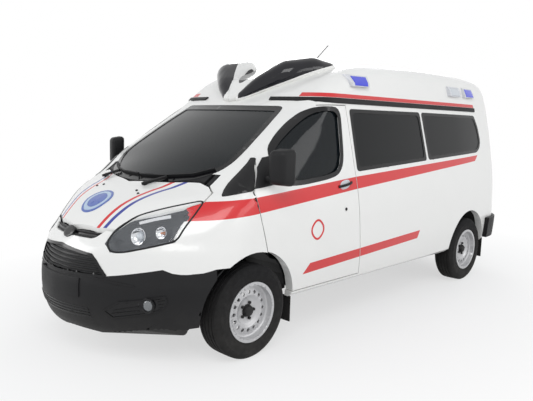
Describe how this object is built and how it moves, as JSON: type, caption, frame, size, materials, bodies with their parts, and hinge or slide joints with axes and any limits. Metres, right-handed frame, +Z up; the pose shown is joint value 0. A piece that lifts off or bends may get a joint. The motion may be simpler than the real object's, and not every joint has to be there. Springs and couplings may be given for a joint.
{
  "type": "ambulance van",
  "caption": "High-roof panel van as an ambulance, with roof beacon pod, side lamps, hinged front and rear doors, bonnet and steered front wheels.",
  "frame": {"origin": "on the ground under the middle of the vehicle box", "axes": "+Z up, -Y towards the front of the vehicle, +X towards its left side"},
  "size_m": [2.2654, 5.3361, 2.4559],
  "materials": {
    "tyre": "moulded rubber",
    "wheel_steel": "satin silver",
    "dark_glass": "polished",
    "black_plastic": "grained",
    "rubber": "matte",
    "headlamp": "clear lens",
    "red_lens": "gloss",
    "blue_lens": "gloss",
    "clear_lens": "gloss",
    "dark_lens": "gloss",
    "white_plastic": "gloss",
    "fabric": "woven",
    "steel": "satin black",
    "engine_metal": "cast",
    "floor_paint": "satin",
    "body_paint": "gloss"
  },
  "bodies": {
    "body": {"floor_pan": "floor_paint", "side_panel_left": "body_paint", "side_panel_right": "body_paint", "roof": "body_paint", "wing_left": "body_paint", "wing_right": "body_paint", "cowl": "black_plastic", "windscreen": "dark_glass", "nose_panel": "body_paint", "front_bumper": "black_plastic", "grilles": "black_plastic", "headlamps": "headlamp", "sliding_door": "body_paint", "side_glass": "dark_glass", "rear_bumper": "black_plastic", "tail_lamps": "red_lens", "beacon_pod": "white_plastic", "beacon_lenses": "dark_lens", "lamp_housings": "white_plastic", "blue_lamps": "blue_lens", "clear_lamps": "clear_lens", "aerial": "black_plastic", "mud_flaps": "rubber", "wheel_liners": "black_plastic", "front_subframe": "steel", "rear_axle": "steel", "engine": "engine_metal", "exhaust": "steel", "hinge_pins": "steel", "towing_eye": "steel", "partition": "white_plastic", "dashboard": "black_plastic", "steering_wheel": "black_plastic", "seats": "fabric"},
    "knuckle_left": {"knuckle_left": "steel"},
    "knuckle_right": {"knuckle_right": "steel"},
    "wheel_front_left": {"tyre_front_left": "tyre", "rim_front_left": "wheel_steel"},
    "wheel_front_right": {"tyre_front_right": "tyre", "rim_front_right": "wheel_steel"},
    "wheel_rear_left": {"tyre_rear_left": "tyre", "rim_rear_left": "wheel_steel"},
    "wheel_rear_right": {"tyre_rear_right": "tyre", "rim_rear_right": "wheel_steel"},
    "door_front_left": {"front_door_left": "body_paint", "door_glass_left": "dark_glass", "mirror_left": "black_plastic"},
    "door_front_right": {"front_door_right": "body_paint", "door_glass_right": "dark_glass", "mirror_right": "black_plastic"},
    "door_rear_left": {"rear_door_left": "body_paint", "rear_glass_left": "dark_glass"},
    "door_rear_right": {"rear_door_right": "body_paint", "rear_glass_right": "dark_glass"},
    "bonnet": {"bonnet": "body_paint"}
  },
  "joints": [
    {"name": "steer_left", "type": "hinge", "parent": "body", "child": "knuckle_left", "pos_m": [0.8, -1.67, 0.343], "axis": [0, 0, 1], "range_deg": [-35, 35]},
    {"name": "wheel_front_left_spin", "type": "hinge", "parent": "knuckle_left", "child": "wheel_front_left", "pos_m": [0.868, -1.67, 0.343], "axis": [1, 0, 0], "continuous": true},
    {"name": "wheel_rear_left_spin", "type": "hinge", "parent": "body", "child": "wheel_rear_left", "pos_m": [0.868, 1.63, 0.343], "axis": [1, 0, 0], "continuous": true},
    {"name": "door_front_left_hinge", "type": "hinge", "parent": "body", "child": "door_front_left", "pos_m": [0.976, -1.455, 1], "axis": [0, 0, -1], "range_deg": [0, 70]},
    {"name": "door_rear_left_hinge", "type": "hinge", "parent": "body", "child": "door_rear_left", "pos_m": [0.699, 2.5234, 0.9], "axis": [0, 0.1605, -0.987], "range_deg": [0, 165]},
    {"name": "steer_right", "type": "hinge", "parent": "body", "child": "knuckle_right", "pos_m": [-0.8, -1.67, 0.343], "axis": [0, 0, 1], "range_deg": [-35, 35]},
    {"name": "wheel_front_right_spin", "type": "hinge", "parent": "knuckle_right", "child": "wheel_front_right", "pos_m": [-0.868, -1.67, 0.343], "axis": [1, 0, 0], "continuous": true},
    {"name": "wheel_rear_right_spin", "type": "hinge", "parent": "body", "child": "wheel_rear_right", "pos_m": [-0.868, 1.63, 0.343], "axis": [1, 0, 0], "continuous": true},
    {"name": "door_front_right_hinge", "type": "hinge", "parent": "body", "child": "door_front_right", "pos_m": [-0.976, -1.455, 1], "axis": [0, 0, 1], "range_deg": [0, 70]},
    {"name": "door_rear_right_hinge", "type": "hinge", "parent": "body", "child": "door_rear_right", "pos_m": [-0.699, 2.5234, 0.9], "axis": [0, -0.1605, 0.987], "range_deg": [0, 165]},
    {"name": "bonnet_hinge", "type": "hinge", "parent": "body", "child": "bonnet", "pos_m": [0, -1.7, 1.18], "axis": [-1, 0, 0], "range_deg": [0, 45]}
  ],
  "couplings": [
    {"joint": "steer_right", "follows": "steer_left", "ratio": 1}
  ]
}
